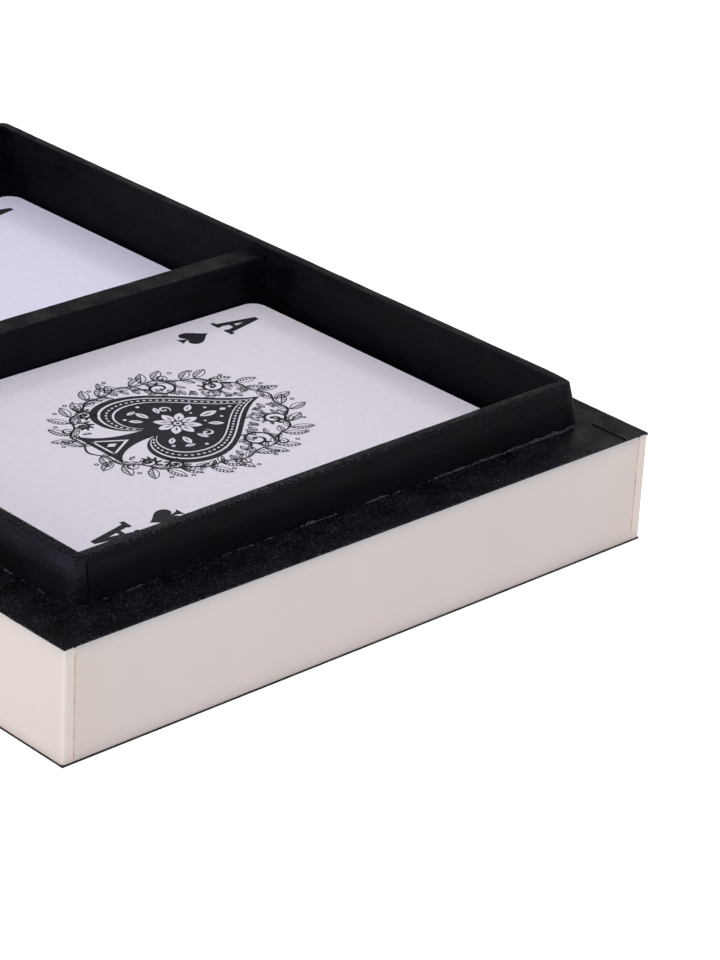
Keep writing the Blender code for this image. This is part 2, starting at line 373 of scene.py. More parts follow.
def bone_resin(name, colour, stain, rim, low, high):
    """Cast resin strip, bone-coloured, sanded and polished.

    It shows as a warm cream with a satin gloss and hardly any figure, with a browner tint where the
    glue of the corner joints has soaked in. A painted bluish-grey reflection runs along its top edge,
    and painted shade darkens it towards its foot.
    """
    material, tree, shader = new_material(name, roughness=0.38, specular=0.45)
    place = add_node(tree, "ShaderNodeTexCoord").outputs["Object"]
    cloud_size, ripple_size = 22 * MM, 3 * MM
    noise_low, noise_high = 0.3, 0.7
    cloud_shade = (0.985, 1.015)
    stain_share, painted_shade_depth = 0.5, 0.33
    made = add_places(tree, place)
    for part, size, detail in (("cloud", cloud_size, 3.0), ("ripple", ripple_size, 1.0)):
        made[part] = add_node(
            tree, "ShaderNodeTexNoise", {"Vector": place, "Scale": 1 / size, "Detail": detail}
        ).outputs["Fac"]
    add_nodes(tree, made, (
        ("clouded", RAMP, "LINEAR", "cloud", noise_low, noise_high, *cloud_shade),
        ("from_middle", MATHS, "ABSOLUTE", "y"),
        ("soaked", RAMP, "SMOOTHSTEP", "from_middle", high.y - soak_reach, high.y, 0.0, stain_share),
        # Painted reflection, strongest at the top edge and fading downwards
        ("off_top", MATHS, "SUBTRACT", "z", high.z),
        ("top_share", MATHS, "DIVIDE", "off_top", painted_reflection_reach),
        ("top_rim", MATHS, "EXPONENT", "top_share"),
        # Painted shade, darkest at the foot and fading upwards
        ("off_foot", MATHS, "SUBTRACT", low.z, "z"),
        ("foot_share", MATHS, "DIVIDE", "off_foot", painted_shade_reach),
        ("foot_rim", MATHS, "EXPONENT", "foot_share"),
        ("foot_loss", MATHS, "MULTIPLY", "foot_rim", painted_shade_depth),
        ("foot_light", MATHS, "SUBTRACT", 1.0, "foot_loss"),
        ("shade", MATHS, "MULTIPLY", "clouded", "foot_light"),
    ))
    tinted = linear(colour)
    for share, over in (("soaked", stain), ("top_rim", rim)):
        tinted = add_node(
            tree, "ShaderNodeMix", {0: made[share], 6: tinted, 7: linear(over)}, data_type="RGBA"
        ).outputs[2]
    shaded = add_node(
        tree, "ShaderNodeVectorMath", {0: tinted, "Scale": made["shade"]}, operation="SCALE"
    ).outputs[0]
    bump = add_node(
        tree, "ShaderNodeBump", {"Height": made["ripple"], "Strength": 0.15, "Distance": 0.02 * MM}
    ).outputs[0]
    set_inputs(tree, shader, {"Base Color": shaded, "Normal": bump})
    return material


def plain_noise_material(name, low, high, size, roughness, specular, bump_depth):
    """A material whose colour wanders between two shades, with a bump of the same grain."""
    noise_low, noise_high = 0.35, 0.65
    material, tree, shader = new_material(name, roughness, specular)
    place = add_node(tree, "ShaderNodeTexCoord").outputs["Object"]
    pattern = add_node(
        tree, "ShaderNodeTexNoise", {"Vector": place, "Scale": 1 / size, "Detail": 4.0}
    ).outputs["Fac"]
    share = add_node(
        tree, "ShaderNodeMapRange", {"Value": pattern, "From Min": noise_low, "From Max": noise_high}
    ).outputs[0]
    colour = add_node(
        tree, "ShaderNodeMix", {0: share, 6: linear(low), 7: linear(high)}, data_type="RGBA"
    ).outputs[2]
    bump = add_node(
        tree, "ShaderNodeBump", {"Height": pattern, "Strength": 0.6, "Distance": bump_depth}
    ).outputs[0]
    set_inputs(tree, shader, {"Base Color": colour, "Normal": bump})
    return material


def add_object(name, data):
    """A new object in the scene."""
    piece = bpy.data.objects.new(name, data)
    bpy.context.scene.collection.objects.link(piece)
    return piece


def pick(piece):
    """Makes one piece the only selected one."""
    bpy.ops.object.select_all(action="DESELECT")
    piece.select_set(True)
    bpy.context.view_layer.objects.active = piece


def open_with(piece, mode, test):
    """Opens a piece in edit mode with only those edges or faces selected whose points pass."""
    pick(piece)
    bpy.ops.object.mode_set(mode="EDIT")
    bpy.ops.mesh.select_mode(type=mode)
    bpy.ops.mesh.select_all(action="DESELECT")
    bpy.ops.object.mode_set(mode="OBJECT")
    mesh = piece.data
    for part in mesh.edges if mode == "EDGE" else mesh.polygons:
        part.select = test([mesh.vertices[n].co for n in part.vertices])
    bpy.ops.object.mode_set(mode="EDIT")


def close():
    """Leaves edit mode."""
    bpy.ops.object.mode_set(mode="OBJECT")


def settle(piece):
    """Puts a piece's place into its mesh."""
    pick(piece)
    bpy.ops.object.transform_apply(location=True, rotation=True, scale=True)


def add_block(name, low, high):
    """A block between two corners."""
    low, high = Vector(low), Vector(high)
    bpy.ops.object.select_all(action="DESELECT")
    bpy.ops.mesh.primitive_cube_add(size=1, location=(low + high) / 2)
    piece = bpy.context.object
    piece.name = name
    piece.scale = high - low
    settle(piece)
    return piece


def bevel(piece, test, radius, segments):
    """Rounds those edges of a piece whose points pass."""
    open_with(piece, "EDGE", test)
    bpy.ops.mesh.bevel(offset=radius, segments=segments, affect="EDGES")
    close()


def slice_at(piece, axis, places):
    """Cuts a piece's surface across an axis, so that it can be worn unevenly."""
    normal = Vector()
    normal[axis] = 1
    pick(piece)
    bpy.ops.object.mode_set(mode="EDIT")
    for place in places:
        bpy.ops.mesh.select_all(action="SELECT")
        bpy.ops.mesh.bisect(plane_co=normal * place, plane_no=normal)
    close()


def steps(low, high, step):
    """The places between two ends, at about one step."""
    count = max(1, round((high - low) / step))
    return [low + (high - low) * n / count for n in range(1, count)]


def apply_modifier(piece, kind, **settings):
    """Gives a piece a modifier and applies it."""
    pick(piece)
    modifier = piece.modifiers.new(kind.lower(), kind)
    for name, value in settings.items():
        setattr(modifier, name, value)
    bpy.ops.object.modifier_apply(modifier=modifier.name)


def wear(piece, size, depth, middle=1.0, direction="NORMAL"):
    """Wears a surface unevenly, inwards unless its middle says otherwise."""
    pattern = bpy.data.textures.new(piece.name + "_wear", "CLOUDS")
    pattern.noise_scale = size
    pattern.noise_depth = 1
    apply_modifier(
        piece, "DISPLACE", texture=pattern, texture_coords="LOCAL", strength=depth, mid_level=middle,
        direction=direction,
    )


def copy_node(node, name):
    """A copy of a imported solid's mesh, merged into whole faces."""
    piece = add_object(name, nodes[node].data.copy())
    piece.data.materials.clear()
    pick(piece)
    bpy.ops.mesh.customdata_custom_splitnormals_clear()
    bpy.ops.object.mode_set(mode="EDIT")
    bpy.ops.mesh.select_all(action="SELECT")
    bpy.ops.mesh.remove_doubles(threshold=merge_distance)
    bpy.ops.mesh.dissolve_limited(angle_limit=flat_angle)
    close()
    return piece


def finish(piece, material, body, slot, *replaced):
    """Gives a piece its finish, puts it on the body it rides on, and hides the imported solids it stands
    for.
    """
    piece.data.materials.clear()
    piece.data.materials.append(material)
    pick(piece)
    bpy.ops.object.shade_smooth_by_angle(angle=smooth_angle)
    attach(piece, body)
    if replaced:
        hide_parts(*replaced)


def midpoint(points):
    """The middle of some points."""
    return sum(points, Vector()) / len(points)


def close_joints(lip, front, back):
    """Closes the joints at a wall's ends, but for a stretch of the front one that stays open."""
    for vertex in lip.data.vertices:
        place = vertex.co
        if abs(place.y - back) < merge_distance:
            place.y += joint_closing
        elif abs(place.y - front) < merge_distance:
            is_open = open_joint_low < place.z < open_joint_high
            place.y -= open_joint_closing if is_open else joint_closing


def level_lip(lip):
    """Lowers the part above the ledge a little towards the front, the left end and the back corner."""
    for vertex in lip.data.vertices:
        place = vertex.co
        if place.z > ledge:
            inward = liner_high - place
            drop = inward.x * lip_drop_along + inward.y * lip_drop_across
            near = max(0, 1 - math.hypot(inward.x, inward.y) / lip_corner_reach)
            drop = min(drop, lip_drop_limit) + lip_corner_drop * near
            place.z -= drop * (place.z - ledge) / (liner_high.z - ledge)


def add_worn_wall(node, name, axes, paint):
    """The divider, or a wall of the liner, whose ends nearly close at the corners of the lip."""
    low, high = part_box(node)
    wall = copy_node(node, name)
    for axis in axes:
        slice_at(wall, axis, steps(low[axis], high[axis], slice_step))
    if node != "divider":
        if Y in axes:
            close_joints(wall, low.y, high.y)
        level_lip(wall)
    wear(wall, wall_hollow_size, wall_hollow_depth)
    wear(wall, nick_size, nick_depth)
    finish(wall, paint, "box", "black_painted_liner", node)


def add_ledge_film(paint):
    """The film of paint on the ledge, ragged at its outer edge and grooved over the back laps."""
    top = ledge + film_lift + film_thickness
    low = Vector((cad_low.x + film_inset, cad_low.y + film_inset, top))
    high = Vector((cad_high.x - film_inset, cad_high.y - film_inset, top))
    bpy.ops.object.select_all(action="DESELECT")
    bpy.ops.mesh.primitive_plane_add(size=1, location=(low + high) / 2)
    film = bpy.context.object
    film.name = "ledge_film"
    film.scale = (high.x - low.x, high.y - low.y, 1)
    settle(film)
    inner_low = Vector((liner_low.x + film_under_lip, liner_low.y + film_under_lip))
    inner_high = Vector((liner_high.x - film_under_lip, liner_high.y - film_under_lip))
    slice_at(film, X, (inner_low.x, inner_high.x))
    slice_at(film, Y, (inner_low.y, inner_high.y))
    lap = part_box("frame_wall_back")[1].y - lap_width
    half_groove = lap_groove_width / 2
    slice_at(film, Y, (lap - half_groove, lap, lap + half_groove))
    open_with(
        film, "FACE",
        lambda points: inner_low.x < midpoint(points).x < inner_high.x
        and inner_low.y < midpoint(points).y < inner_high.y,
    )
    bpy.ops.mesh.delete(type="FACE")
    close()
    slice_at(film, X, steps(low.x, high.x, slice_step))
    slice_at(film, Y, steps(low.y, high.y, slice_step))
    for vertex in film.data.vertices:
        place = vertex.co
        on_end = place.x < liner_low.x - bead_width or place.x > liner_high.x + bead_width
        if on_end and abs(place.y - lap) < half_groove / 2:
            place.z -= lap_groove_depth
        near = max(0, 1 - math.hypot(place.x - high.x, place.y - high.y) / film_corner_reach)
        place.z = max(place.z - film_corner_drop * near, ledge + film_lift)
    open_with(
        film, "EDGE",
        lambda ends: any(
            all(abs(end[axis] - border[axis]) < merge_distance for end in ends)
            for axis in (X, Y) for border in (low, high)
        ),
    )
    bpy.ops.mesh.extrude_region_move(TRANSFORM_OT_translate={"value": (0, 0, -film_edge_depth)})
    close()
    for vertex in film.data.vertices:
        place = vertex.co
        if place.z < top - film_edge_depth / 2:
            place.z += film_ragged * noise.noise(place / ragged_size)
            if place.y < low.y + merge_distance:
                place.z += film_front_rise
    wear(film, nick_size, film_nick_depth, direction="Z")
    apply_modifier(film, "SOLIDIFY", thickness=film_skin, offset=-1)
    finish(film, paint, "box", "black_painted_frame")


def add_bead(name, low, high, along, filler):
    """A broken bead of filler and paint in the corner between ledge and lip.

    Along the ends it rises towards the back, where more of it was used.
    """
    bead = add_block(name, low, high)
    bevel(
        bead,
        lambda points: all(point.z > high[Z] - merge_distance for point in points)
        and abs(points[0][along] - points[1][along]) > bead_width * 2,
        bead_round,
        bead_round_segments,
    )
    slice_at(bead, along, steps(low[along], high[along], bead_width / 2))
    if along == Y:
        for vertex in bead.data.vertices:
            place = vertex.co
            if place.z > high[Z] - bead_height / 2:
                place.z += bead_swell * max(0, place.y - bead_swell_from) / (high[Y] - bead_swell_from)
    for kind in bead_wear:
        wear(bead, *kind)
    finish(bead, filler, "box", "black_painted_frame")


def add_beads(filler):
    """A bead along each wall of the lip, up to the round corners."""
    for side, along, across, sign, face in (
        ("right", Y, X, 1, liner_high.x), ("left", Y, X, -1, liner_low.x),
        ("back", X, Y, 1, liner_high.y), ("front", X, Y, -1, liner_low.y),
    ):
        low, high = [0, 0, ledge - bead_height / 2], [0, 0, ledge + bead_height]
        low[along], high[along] = liner_low[along] + bead_end_gap, liner_high[along] - bead_end_gap
        low[across], high[across] = sorted((face, face + sign * bead_width))
        add_bead("filler_" + side, low, high, along, filler)


def add_lap_lines(joint):
    """The open part of the corner laps that shows through the paint on the back of the ledge."""
    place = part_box("frame_wall_back")[1].y - lap_width
    for side, start, end in (("right", liner_high.x, cad_high.x), ("left", liner_low.x, cad_low.x)):
        width = end - start
        ends = sorted((start + width * lap_line_start, end - width * lap_line_end))
        line = add_block(
            "lap_line_" + side,
            (ends[0], place - lap_line_width / 2, ledge + film_lift / 2),
            (ends[1], place + lap_line_width / 2, ledge + film_lift + film_thickness),
        )
        slice_at(line, X, steps(ends[0], ends[1], slice_step))
        wear(line, lap_line_wave, lap_line_width / 2, direction="Y")
        finish(line, joint, "box", "black_painted_frame")


def add_glue_lines(glue):
    """The glue that shows between the facing strips at the four corners."""
    for side in ("left", "right"):
        low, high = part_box("cladding_" + side)
        for end, y_low, y_high in (
            ("front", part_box("cladding_front")[1].y, low.y),
            ("back", high.y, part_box("cladding_back")[0].y),
        ):
            line = add_block(
                "glue_" + side + "_" + end,
                (low.x + glue_inset, y_low, low.z + glue_end_gap),
                (high.x - glue_inset, y_high, high.z - glue_end_gap),
            )
            slice_at(line, Z, steps(low.z, high.z, slice_step))
            wear(line, glue_wave, glue_wave_depth, direction="X", middle=0.5)
            finish(line, glue, "box", "bone_coloured_resin")


def add_under_paint(paint):
    """The thin uneven edge of black paint that shows under the facing strips."""
    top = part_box("cladding_front")[0].z + under_paint_rise
    left, right = cad_low.x + under_paint_inset, cad_high.x - under_paint_inset
    front, back = cad_low.y + under_paint_inset, cad_high.y - under_paint_inset
    inner_left, inner_right = cad_low.x + under_paint_depth, cad_high.x - under_paint_depth
    inner_front, inner_back = cad_low.y + under_paint_depth, cad_high.y - under_paint_depth
    for side, along, low, high in (
        ("front", X, (left, front), (right, inner_front)),
        ("back", X, (left, inner_back), (right, back)),
        ("left", Y, (left, inner_front), (inner_left, inner_back)),
        ("right", Y, (inner_right, inner_front), (right, inner_back)),
    ):
        bar = add_block("under_paint_" + side, (*low, under_paint_foot), (*high, top))
        slice_at(bar, along, steps(low[along], high[along], slice_step))
        for vertex in bar.data.vertices:
            if vertex.co.z > top - merge_distance:
                vertex.co.z += under_paint_ragged * noise.noise(vertex.co / under_paint_wave)
        finish(bar, paint, "box", "black_felt")


def add_deck(side, edge_paper):
    """The single cards of a deck, a little out of line with each other."""
    low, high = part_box("deck_" + side)
    cards_in_deck = round((high.z - low.z) / card_thickness)
    thickness = (high.z - low.z) / cards_in_deck
    shaker = random.Random("deck_" + side)
    first = add_block("cards_" + side, low, (high.x, high.y, low.z + thickness * card_share))
    bevel(
        first,
        lambda points: (points[0] - points[1]).xy.length < merge_distance,
        card_corner,
        card_corner_segments,
    )
    centre = (low + high) / 2
    cards = [first]
    for number in range(1, cards_in_deck):
        card = add_object(f"card_{side}_{number}", first.data.copy())
        turn = Matrix.Rotation(math.radians(shaker.uniform(-card_turn, card_turn)), 4, "Z")
        shift = Vector((shaker.uniform(-1, 1), shaker.uniform(-1, 1), 0)) * card_jitter
        shift.z = number * thickness
        card.data.transform(
            Matrix.Translation(centre + shift) @ turn @ Matrix.Translation(-centre)
        )
        cards.append(card)
    bpy.ops.object.select_all(action="DESELECT")
    for card in cards:
        card.select_set(True)
    bpy.context.view_layer.objects.active = first
    bpy.ops.object.join()
    finish(first, edge_paper, "deck_" + side, "card_edges", "deck_" + side)


def add_print(name, motifs):
    """Flat ink from motifs of closed outlines in mm, where an outline in another cuts it out."""
    pieces = []
    for number, outlines in enumerate(motifs):
        curve = bpy.data.curves.new(name, "CURVE")
        curve.dimensions = "2D"
        curve.fill_mode = "BOTH"
        curve.extrude = ink_thickness / 2
        for outline in outlines:
            spline = curve.splines.new("POLY")
            spline.points.add(len(outline) - 1)
            for at, (x, y) in zip(spline.points, outline):
                at.co = (x * MM, y * MM, 0, 1)
            spline.use_cyclic_u = True
        pieces.append(add_object(name, curve))
        pieces[-1].location.z = number % ink_layers * ink_thickness / 2
    pick(pieces[0])
    for piece in pieces:
        piece.select_set(True)
    bpy.ops.object.convert(target="MESH")
    bpy.ops.object.transform_apply(location=True, rotation=False, scale=False)
    bpy.ops.object.join()
    return bpy.context.object


def placed(outlines, x, y, turn=0.0, size=1.0):
    """Outlines scaled, turned by degrees and moved to a place."""
    cos = size * math.cos(math.radians(turn))
    sin = size * math.sin(math.radians(turn))
    return [[(x + a * cos - b * sin, y + a * sin + b * cos) for a, b in outline] for outline in outlines]


def flipped(outlines):
    """Outlines mirrored from right to left."""
    return [[(-x, y) for x, y in outline] for outline in outlines]


def letter_a():
    """A slab-serif letter A that stands on the origin."""
    height, foot, serif, bar_low, bar_high = 8.7, 2.95, 0.9, 2.5, 3.5
    crown, limb, serif_inner, reach = 0.55, 1.25, 0.7, 2.4

    def outer(y):
        return reach + (crown - reach) * y / height

    def inner(y):
        return outer(y) - limb

    half = [(serif_inner, 0), (foot, 0), (foot, serif), (outer(serif), serif), (crown, height)]
    under = [(inner(bar_low), bar_low), (inner(serif), serif), (serif_inner, serif)]
    outline = under + half
    outline = outline + [(-x, y) for x, y in reversed(outline)]
    peak = height * (reach - limb) / (reach - crown)
    counter = [(-inner(bar_high), bar_high), (inner(bar_high), bar_high), (0, peak)]
    return [outline, counter]


def smooth_outline(sides):
    """A closed outline, the same on both sides, from the curves down its right side."""
    half = []
    for side in sides:
        half += interpolate_bezier(*(Vector(point) for point in side), spade_steps)[:-1]
    half = [(point.x, point.y) for point in half] + [sides[-1][-1]]
    return half + [(-x, y) for x, y in reversed(half[1:]) if x > 0]


def spade(width, height):
    """A spade's outline, its tip up and its middle at the origin."""
    return [[(x * width, y * height) for x, y in smooth_outline(spade_body + spade_stem)]]


def spade_heart(width, height, size):
    """The outline of a spade without its stem, drawn in towards its middle."""
    centre = spade_heart_centre
    outline = smooth_outline(spade_body)
    return [(x * width * size, (centre + (y - centre) * size) * height) for x, y in outline]


def circle(x, y, radius, count=14):
    """An outline round a place, from a few straight lines."""
    turn = 2 * math.pi / count
    return [(x + radius * math.cos(n * turn), y + radius * math.sin(n * turn)) for n in range(count)]


def diamond(x, y, width, height):
    """A diamond round a place, from half its width and half its height."""
    return [(x + width, y), (x, y + height), (x - width, y), (x, y - height)]


def bulge(share):
    """How wide a leaf is, against its greatest width, at a share of its length."""
    return math.sin(math.pi * share) ** leaf_fullness


def lens(length, width, start=0.0):
    """A pointed oval that stands on the origin, or a little above it."""
    right = [
        (width / 2 * bulge(n / leaf_steps), start + length * n / leaf_steps)
        for n in range(leaf_steps + 1)
    ]
    return right + [(-x, y) for x, y in reversed(right[1:-1])]


def leaf(length, width, line):
    """A leaf in outline, with one half shaded by strokes that run out from its rib.

    A leaf too small for that is black all over.
    """
    start, half = 1.7 * line, width / 2 - line
    if half < line:
        return [lens(length, width)]
    inside = length - 2 * start
    strokes, stroke_share = 6, 0.62

    def edge(share):
        return (half * bulge(share), start + inside * share)

    rim = [edge(n / leaf_steps) for n in range(1, leaf_steps)]
    light = [(-line / 2, start)] + [(-x, y) for x, y in rim] + [(-line / 2, start + inside)]
    outlines = [lens(length, width), light]
    for n in range(1, strokes):
        low, high = edge(n / strokes), edge((n + stroke_share) / strokes)
        outlines.append([(line / 2, low[1] - line), low, high, (line / 2, high[1] - line)])
    return outlines


def spiral(radius, turns):
    """Places along a line that rises from the origin and rolls in to the right."""
    count, tightening = 36, 0.82
    path = []
    for n in range(count + 1):
        angle = math.pi - n / count * turns * 2 * math.pi
        reach = radius * (1 - tightening * n / count)
        path.append(Vector((radius + reach * math.cos(angle), reach * math.sin(angle))))
    return path


def stroke(path, width):
    """A brush stroke along a path, thin at both ends."""
    last = len(path) - 1
    thinnest, swelling = 0.3, 3
    left, right = [], []
    for n, point in enumerate(path):
        ahead = (path[min(n + 1, last)] - path[max(n - 1, 0)]).normalized()
        press = min(1, thinnest + swelling * n / last, thinnest + swelling * (1 - n / last))
        side = Vector((-ahead.y, ahead.x)) * width / 2 * press
        left.append(tuple(point + side))
        right.append(tuple(point - side))
    return [left + right[::-1]]


def scroll(radius, turns, width, leaf_length):
    """A curled branch with leaves on its outside and a berry at its end, as motifs."""
    berry_share, shrinking, slimness, line, outward = 0.8, 0.02, 0.44, 0.15, 50
    first_leaf, last_leaf, leaf_gap = 2, 24, 3
    path = spiral(radius, turns)
    motifs = [stroke(path, width), [circle(path[-1].x, path[-1].y, width * berry_share)]]
    for n in range(first_leaf, last_leaf, leaf_gap):
        ahead = path[n + 1] - path[n]
        turn = math.degrees(math.atan2(ahead.y, ahead.x)) - 90
        size = leaf_length * (1 - shrinking * n)
        motifs.append(placed(leaf(size, slimness * size, line), path[n].x, path[n].y, turn + outward))
    return motifs


def spaced(outline, gap):
    """Places round a closed outline at about one gap, with the outline's turn at each in degrees."""
    points = [Vector(point) for point in outline]
    sides = [b - a for a, b in zip(points, points[1:] + points[:1])]
    total = sum(side.length for side in sides)
    count = round(total / gap)
    places, walked, number = [], 0.0, 0
    for point, side in zip(points, sides):
        while number < count and number * total / count < walked + side.length:
            place = point + side.normalized() * (number * total / count - walked)
            places.append((place.x, place.y, math.degrees(math.atan2(side.y, side.x)) - 90))
            number += 1
        walked += side.length
    return places


def spade_picture(width, height):
    """The big spade as motifs: a border, a band of small diamonds, and a field with a rosette.

    Shares are sizes of its outline repeated inside it. Other numbers are places and sizes in mm
    from its middle, and turns in degrees.
    """
    border_share, band_shares, diamond_share, field_share = 0.915, (0.885, 0.76), 0.822, 0.735
    diamond_gap, stem_top, stem_reach = 1.1, -5.6, 2.2
    rosette_y, petals, knob_y, knob_radius = -0.6, 8, -6.3, 1.75
    foot = -0.5 * height
    border = spade(width, height) + [
        spade_heart(width, height, border_share),
        [(0, foot + 6.6), (3.3, foot + 0.9), (-3.3, foot + 0.9)],
        [(0, foot + 5.7), (2.6, foot + 1.3), (-2.6, foot + 1.3)],
        diamond(0, foot + 2.9, 0.7, 1.1),
    ]
    band = [spade_heart(width, height, share) for share in band_shares]
    for x, y, turn in spaced(spade_heart(width, height, diamond_share), diamond_gap):
        if y > stem_top or abs(x) > stem_reach:
            band += placed([diamond(0, 0, 0.27, 0.38)], x, y, turn)
    field = [spade_heart(width, height, field_share)]
    field += [circle(0, rosette_y, radius) for radius in (0.75, 0.35)]
    petal = [lens(3.3, 1.75, 0.95), lens(1.5, 0.28, 1.5)]
    for n in range(petals):
        field += placed(petal, 0, rosette_y, n * 360 / petals)
    bud = [lens(3.0, 1.35), lens(1.7, 0.24, 0.5)]
    field += placed(bud, 0, 4.3, 0, 1.25) + [diamond(0, 9.4, 0.55, 0.75), diamond(0, 11.0, 0.3, 0.45)]
    right = []
    for x, y, turn, size in (
        (4.5, -3.2, -102, 1.0), (3.9, -4.9, -138, 0.85), (5.0, -0.6, -72, 0.8),
        (2.9, 3.6, -36, 0.95), (8.0, -3.4, -190, 0.7),
    ):
        right += placed(bud, x, y, turn, size)
    right += placed(stroke(spiral(1.15, 1.15), 0.42), 4.6, 1.6, -24)
    for x, y, radius in ((9.1, -1.9, 0.36), (6.4, -6.9, 0.36), (2.2, 7.3, 0.32), (1.9, 3.9, 0.26)):
        right.append(circle(x, y, radius))
    return [border, band, field + right + flipped(right), [circle(0, knob_y, knob_radius)]]


def wreath(half_width, half_height):
    """The motifs of a wreath: leaves, berries and curled branches up both sides of a wavy vine.

    Numbers are places and sizes in mm from the card's middle, and turns in degrees, but for the
    shares of the size of vine and spade.
    """
    count, waves, swing_share, vine_share = 240, 16, 0.028, 0.022
    inner_share, inner_gap, inner_reach, inner_foot = 1.07, 1.95, 0.8, -9
    vine_gap, vine_reach, curl_every = 2.5, 0.6, 4
    vine, inner_vine = [], []
    for n in range(count):
        angle = 2 * math.pi * n / count
        reach = 1 + swing_share * math.cos(waves * angle)
        vine.append((half_width * reach * math.sin(angle), -half_height * reach * math.cos(angle)))
        inner_vine.append((vine[-1][0] * (1 - vine_share), vine[-1][1] * (1 - vine_share)))
    side = []
    for x, y, turn in spaced(spade_heart(*big_spade, inner_share), inner_gap):
        if x > inner_reach and y > inner_foot:
            side.append(placed(leaf(2.3, 1.15, 0.16), x, y, turn + 55))
    along_vine = [place for place in spaced(vine, vine_gap) if place[0] > vine_reach]
    for n, (x, y, turn) in enumerate(along_vine):
        if n % curl_every == curl_every - 1:
            side.append(placed(stroke(spiral(1.15, 1.3), 0.34), x, y, turn - 62))
        else:
            side.append(placed(leaf(4.4, 2.0, 0.19), x, y, turn - 50))
        side.append(placed(leaf(2.9, 1.35, 0.17), x, y, turn + 46))
        if n % 2:
            side.append(placed([circle(0, 3.0, 0.42), circle(0, 3.0, 0.2, 8)], x, y, turn - 88))
    for radius, turns, leaf_length, x, y, turn in (
        (3.1, 1.45, 2.6, 15.5, 7.6, 28),
        (2.3, 1.4, 2.3, 9.6, 15.7, 52),
        (1.7, 1.3, 1.9, 13.2, -12.3, -38),
        (1.6, 1.3, 1.7, 9.4, -15.6, -62),
    ):
        for motif in scroll(radius, turns, 0.55, leaf_length):
            side.append(placed(flipped(motif), x, y, turn))
    for x, y, turn, length in (
        (5.2, 9.6, 10, 2.6), (3.5, 12.9, 4, 2.4), (7.6, 8.3, -18, 2.2), (4.9, 16.6, 55, 2.4),
        (6.9, 13.0, 60, 2.0), (8.9, -12.9, 150, 2.2), (5.6, -14.6, -160, 1.8), (14.6, 1.6, -8, 2.0),
    ):
        side.append(placed(leaf(length, length * 0.45, 0.15), x, y, turn))
    return [[vine, inner_vine]] + side + [flipped(motif) for motif in side]


def add_ace(side, picture, face_paper, ink):
    """The finish of an ace of spades, and its print with a picture in the middle."""
    low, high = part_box("ace_" + side)
    nodes["ace_" + side].data.materials[0] = face_paper
    centre = (low + high) / 2
    half_width, half_length = (high.x - low.x) / 2 / MM, (high.y - low.y) / 2 / MM
    across = half_width - index_inset
    letter_up, pip_up = half_length - letter_inset, half_length - pip_inset
    motifs = list(picture)
    for turn, sign in ((0, 1), (180, -1)):
        motifs.append(placed(letter_a(), -sign * across, sign * letter_up, turn))
        motifs.append(placed(spade(*index_spade), -sign * across, sign * pip_up, turn))
    mark = add_print("card_print_" + side, motifs)
    mark.location = (centre.x + print_shift[0], centre.y + print_shift[1], high.z + ink_lift)
    settle(mark)
    finish(mark, ink, "ace_" + side, "card_face")


def add_floor():
    """A pale floor that keeps the object's shadow, and glows for the camera up to white."""
    floor_size, grey, glow_strength = 6, 0.8, 0.4
    bpy.ops.object.select_all(action="DESELECT")
    bpy.ops.mesh.primitive_plane_add(size=floor_size, location=(0, 0, 0))
    floor = bpy.context.object
    floor.name = "floor"
    material, tree, shader = new_material("white_sweep", roughness=0.9, specular=0.0)
    seen = add_node(tree, "ShaderNodeLightPath").outputs["Is Camera Ray"]
    glow = add_node(
        tree, "ShaderNodeMath", {0: seen, 1: glow_strength}, operation="MULTIPLY"
    ).outputs[0]
    set_inputs(tree, shader, {
        "Base Color": (grey, grey, grey, 1), "Emission Color": (1, 1, 1, 1), "Emission Strength": glow,
    })
    floor.data.materials.append(material)


def add_world():
    """A dim bluish dome, which the camera and glossy surfaces see as white, darker overhead."""
    dome_colour, dome_strength = (0.90, 0.93, 1.0, 1), 0.40
    white_strength, overhead_strength = 1.25, 0.3
    overhead_from, overhead_full = 0.4, 0.7
    world = bpy.data.worlds.new("studio")
    bpy.context.scene.world = world
    world.use_nodes = True
    tree = world.node_tree
    tree.nodes.clear()
    rays = add_node(tree, "ShaderNodeLightPath")
    light = add_node(tree, "ShaderNodeBackground", {"Color": dome_colour, "Strength": dome_strength})
    direction = add_node(tree, "ShaderNodeTexCoord").outputs["Generated"]
    height = add_node(tree, "ShaderNodeSeparateXYZ", {"Vector": direction}).outputs["Z"]
    darker_above = add_node(
        tree, "ShaderNodeMapRange",
        {
            "Value": height, "From Min": overhead_from, "From Max": overhead_full,
            "To Min": white_strength, "To Max": overhead_strength,
        },
    ).outputs[0]
    strength = add_node(
        tree, "ShaderNodeMath", {0: darker_above, 1: rays.outputs["Is Camera Ray"]}, operation="MAXIMUM"
    ).outputs[0]
    white = add_node(tree, "ShaderNodeBackground", {"Color": (1, 1, 1, 1), "Strength": strength})
    seen = add_node(
        tree, "ShaderNodeMath", {0: rays.outputs["Is Camera Ray"], 1: rays.outputs["Is Glossy Ray"]},
        operation="MAXIMUM",
    ).outputs[0]
    mix = add_node(
        tree, "ShaderNodeMixShader", {0: seen, 1: light.outputs[0], 2: white.outputs[0]}
    )
    add_node(tree, "ShaderNodeOutputWorld", {"Surface": mix.outputs[0]})


